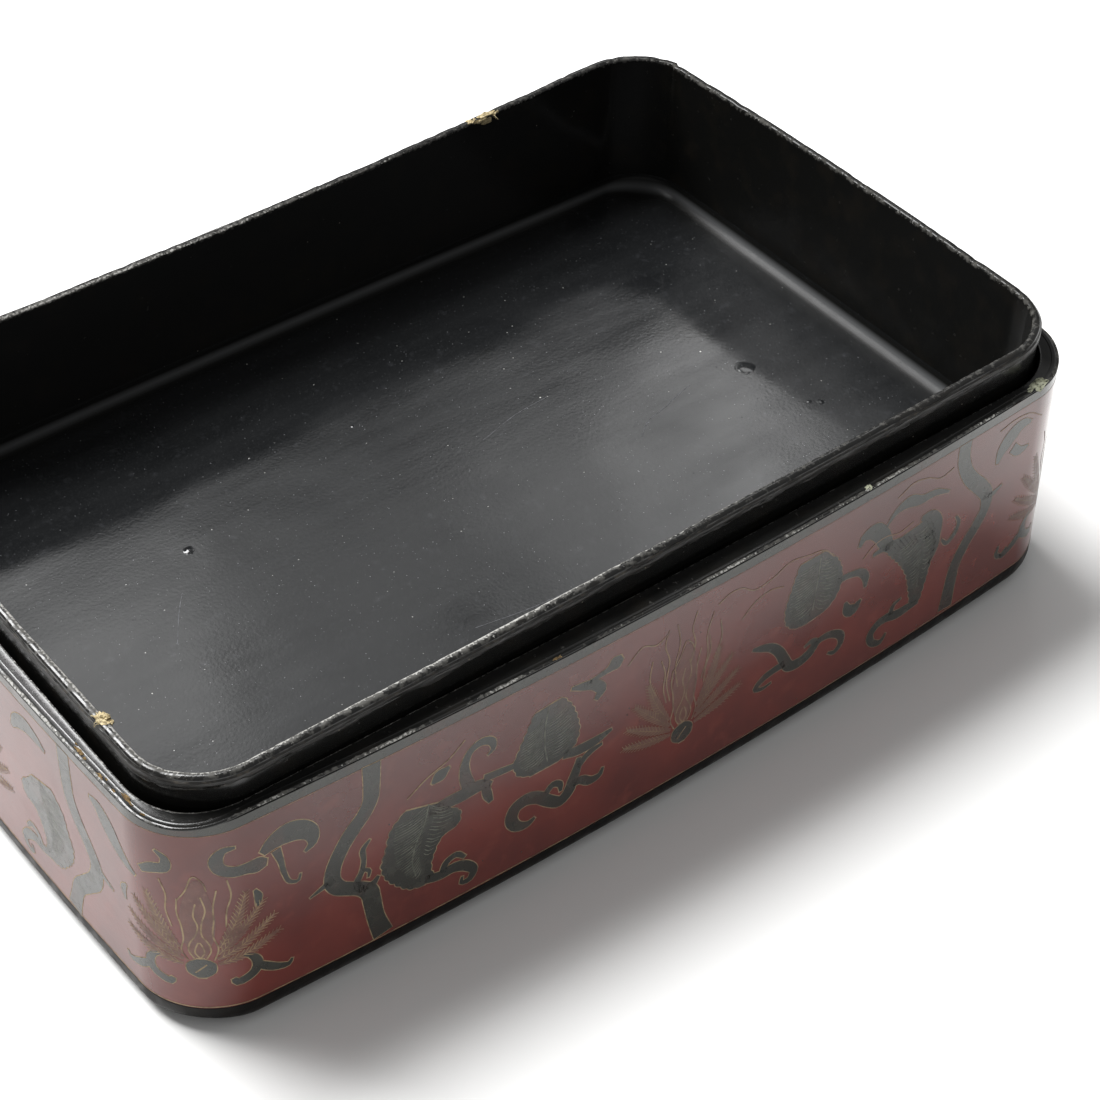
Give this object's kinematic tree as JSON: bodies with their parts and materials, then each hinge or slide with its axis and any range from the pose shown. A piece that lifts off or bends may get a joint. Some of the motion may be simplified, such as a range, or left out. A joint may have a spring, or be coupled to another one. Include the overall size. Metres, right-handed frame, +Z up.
{
  "type": "lacquered food box",
  "caption": "Rectangular lacquered food box with rounded corners, bowed sides, a stepped ledge for a cover and a lift-out black inner tray.",
  "frame": {"origin": "on the table under the middle of the box", "axes": "+X along the long sides, -Y towards the near long side, +Z up"},
  "size_m": [0.3204, 0.215, 0.089],
  "materials": {
    "red_lacquer": "polished red lacquer over a ground coat, worn dull in places",
    "green_black_lacquer": "polished dark green-black lacquer",
    "black_lacquer": "black lacquer on wood, satin, rubbed through at the edges",
    "worn_floor_lacquer": "black lacquer on wood, gone dull grey with fine grain",
    "lacquered_core": "softwood core, black lacquer on its inner face",
    "bare_wood": "plain softwood, unfinished"
  },
  "bodies": {
    "box": {"base_board": "black_lacquer", "wall_board_front": "lacquered_core", "wall_board_right": "lacquered_core", "wall_board_back": "lacquered_core", "wall_board_left": "lacquered_core", "corner_block_front_right": "lacquered_core", "corner_block_back_right": "lacquered_core", "corner_block_back_left": "lacquered_core", "corner_block_front_left": "lacquered_core", "field_skin": "red_lacquer", "border_hoop": "green_black_lacquer", "ledge_strip": "black_lacquer", "bearer_front": "bare_wood", "bearer_right": "bare_wood", "bearer_back": "bare_wood", "bearer_left": "bare_wood"},
    "tray": {"tray_board_front": "black_lacquer", "tray_board_right": "black_lacquer", "tray_board_back": "black_lacquer", "tray_board_left": "black_lacquer", "tray_corner_front_right": "black_lacquer", "tray_corner_back_right": "black_lacquer", "tray_corner_back_left": "black_lacquer", "tray_corner_front_left": "black_lacquer", "tray_floor": "worn_floor_lacquer", "tray_cove": "black_lacquer", "tray_rim_binding": "black_lacquer"}
  },
  "joints": [
    {"name": "tray_lift", "type": "slide", "parent": "box", "child": "tray", "axis": [0, 0, 1], "range_m": [0, 0.06]}
  ]
}
